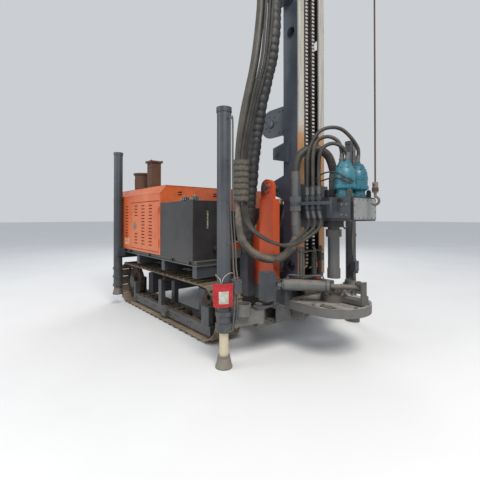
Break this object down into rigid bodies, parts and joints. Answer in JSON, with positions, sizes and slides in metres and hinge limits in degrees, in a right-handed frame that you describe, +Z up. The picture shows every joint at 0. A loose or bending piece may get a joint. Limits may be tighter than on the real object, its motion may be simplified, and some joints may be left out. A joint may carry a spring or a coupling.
{
  "type": "crawler rotary drilling rig",
  "caption": "Crawler-mounted rotary drilling rig with an upright feed mast, rotary head, hooded engine, oil tank and four hydraulic jack legs",
  "frame": {"origin": "middle of the bounding box at the ground the tracks stand on", "axes": "+X is the drilling end, +Y the left side of the rig, +Z up"},
  "size_m": [3.9, 2.156, 5.9659],
  "materials": {
    "hood_paint": "sun-faded orange paint, dusty",
    "post_paint": "orange-red paint, chipped",
    "frame_paint": "blue-grey paint, worn",
    "tank_paint": "dark grey paint",
    "motor_paint": "teal paint",
    "bright_steel": "plain steel, dull",
    "shoe_steel": "rusty steel under dry dust",
    "rusty_steel": "rusty steel",
    "dusty_steel": "steel under beige dust",
    "black_rubber": "hose rubber",
    "tan_wrap": "dusty spiral wrap"
  },
  "bodies": {
    "chassis": {"track_right": "shoe_steel", "track_left": "shoe_steel", "track_chains": "rusty_steel", "track_frames": "frame_paint", "track_wheels": "rusty_steel", "lower_frame": "frame_paint", "deck": "tank_paint", "engine_block": "tank_paint", "hood_roof": "hood_paint", "hood_front_wall": "hood_paint", "hood_sides": "hood_paint", "hood_rear_grille": "hood_paint", "exhaust_pipe": "rusty_steel", "air_cleaner": "rusty_steel", "oil_tank": "tank_paint", "tank_fittings": "bright_steel", "control_console": "tank_paint", "mast_posts": "post_paint", "front_beam": "frame_paint", "drill_table": "dusty_steel", "rear_leg_tubes": "frame_paint", "rear_leg_brackets": "frame_paint"},
    "leg_right": {"leg_arm_right": "frame_paint", "leg_tube_right": "frame_paint"},
    "leg_left": {"leg_arm_left": "frame_paint", "leg_tube_left": "frame_paint"},
    "jack_front_right": {"jack_front_right": "dusty_steel"},
    "jack_front_left": {"jack_front_left": "dusty_steel"},
    "jack_rear_right": {"jack_rear_right": "dusty_steel"},
    "jack_rear_left": {"jack_rear_left": "dusty_steel"},
    "mast": {"mast_column": "frame_paint", "mast_rails": "bright_steel", "mast_trunnion": "frame_paint", "feed_drive": "frame_paint", "feed_chains": "rusty_steel", "crown": "frame_paint", "crown_sheaves": "rusty_steel", "winch_frame": "frame_paint", "hoist_rope": "bright_steel", "hook_block": "post_paint", "hose_main": "tan_wrap", "hoses_small": "black_rubber", "hose_bundle": "black_rubber", "hose_wrap": "tan_wrap"},
    "winch": {"winch_drum": "rusty_steel"},
    "head": {"head_carriage": "frame_paint", "gearbox": "tank_paint", "drive_motors": "motor_paint", "standpipe": "bright_steel", "hoses_head": "black_rubber"},
    "spindle": {"spindle": "bright_steel"},
    "wrench": {"wrench_ring": "rusty_steel"},
    "wrench_barrel": {"wrench_barrel": "frame_paint"},
    "wrench_rod": {"wrench_rod": "dusty_steel"},
    "lift_barrel": {"lift_barrel": "frame_paint"},
    "lift_rod": {"lift_rod": "bright_steel"},
    "door_right": {"door_right": "hood_paint"},
    "door_left": {"door_left": "hood_paint"}
  },
  "joints": [
    {"name": "mast_tilt", "type": "hinge", "parent": "chassis", "child": "mast", "pos_m": [0.923, 0, 1.6], "axis": [0, -1, 0], "range_deg": [0, 86], "deforming": ["hose_bundle"]},
    {"name": "head_feed", "type": "slide", "parent": "mast", "child": "head", "axis": [0, 0, 1], "range_m": [-0.1, 3.3], "deforming": ["hose_main", "hoses_small", "hose_wrap"]},
    {"name": "spindle_spin", "type": "hinge", "parent": "head", "child": "spindle", "pos_m": [1.47, 0, 1.2], "axis": [0, 0, -1], "continuous": true},
    {"name": "winch_turn", "type": "hinge", "parent": "mast", "child": "winch", "pos_m": [0.82, 0, 2.3], "axis": [0, -1, 0], "continuous": true},
    {"name": "wrench_turn", "type": "hinge", "parent": "chassis", "child": "wrench", "pos_m": [1.47, 0, 0.5], "axis": [0, 0, 1], "range_deg": [-40, 8]},
    {"name": "wrench_barrel_swing", "type": "hinge", "parent": "chassis", "child": "wrench_barrel", "pos_m": [1.16, -0.44, 0.662], "axis": [0, 0, 1], "range_deg": [-12, 4]},
    {"name": "wrench_rod_slide", "type": "slide", "parent": "wrench_barrel", "child": "wrench_rod", "axis": [0.7926, 0.6097, 0], "range_m": [-0.16, 0.04]},
    {"name": "lift_barrel_swing", "type": "hinge", "parent": "chassis", "child": "lift_barrel", "pos_m": [0.57, 0, 0.75], "axis": [0, -1, 0], "range_deg": [-1, 22]},
    {"name": "lift_rod_slide", "type": "slide", "parent": "lift_barrel", "child": "lift_rod", "axis": [0.2823, 0, 0.9593], "range_m": [-0.4, 0.01]},
    {"name": "leg_right_swing", "type": "hinge", "parent": "chassis", "child": "leg_right", "pos_m": [1.1, -0.64, 0.4], "axis": [0, 0, 1], "range_deg": [0, 60]},
    {"name": "leg_left_swing", "type": "hinge", "parent": "chassis", "child": "leg_left", "pos_m": [1.1, 0.64, 0.4], "axis": [0, 0, -1], "range_deg": [0, 60]},
    {"name": "jack_front_right_slide", "type": "slide", "parent": "leg_right", "child": "jack_front_right", "axis": [0, 0, -1], "range_m": [-0.17, 0.9]},
    {"name": "jack_front_left_slide", "type": "slide", "parent": "leg_left", "child": "jack_front_left", "axis": [0, 0, -1], "range_m": [-0.17, 0.9]},
    {"name": "jack_rear_right_slide", "type": "slide", "parent": "chassis", "child": "jack_rear_right", "axis": [0, 0, -1], "range_m": [0, 0.9]},
    {"name": "jack_rear_left_slide", "type": "slide", "parent": "chassis", "child": "jack_rear_left", "axis": [0, 0, -1], "range_m": [0, 0.9]},
    {"name": "door_right_swing", "type": "hinge", "parent": "chassis", "child": "door_right", "pos_m": [-0.355, -0.945, 1.2], "axis": [0, 0, 1], "range_deg": [0, 110]},
    {"name": "door_left_swing", "type": "hinge", "parent": "chassis", "child": "door_left", "pos_m": [-0.355, 0.945, 1.2], "axis": [0, 0, -1], "range_deg": [0, 110]}
  ],
  "couplings": [
    {"joint": "wrench_barrel_swing", "follows": "wrench_turn", "ratio": 0.2523},
    {"joint": "wrench_rod_slide", "follows": "wrench_turn", "m_per_rad": 0.1967},
    {"joint": "lift_barrel_swing", "follows": "mast_tilt", "ratio": 0.2244},
    {"joint": "lift_rod_slide", "follows": "mast_tilt", "m_per_rad": -0.2301}
  ]
}
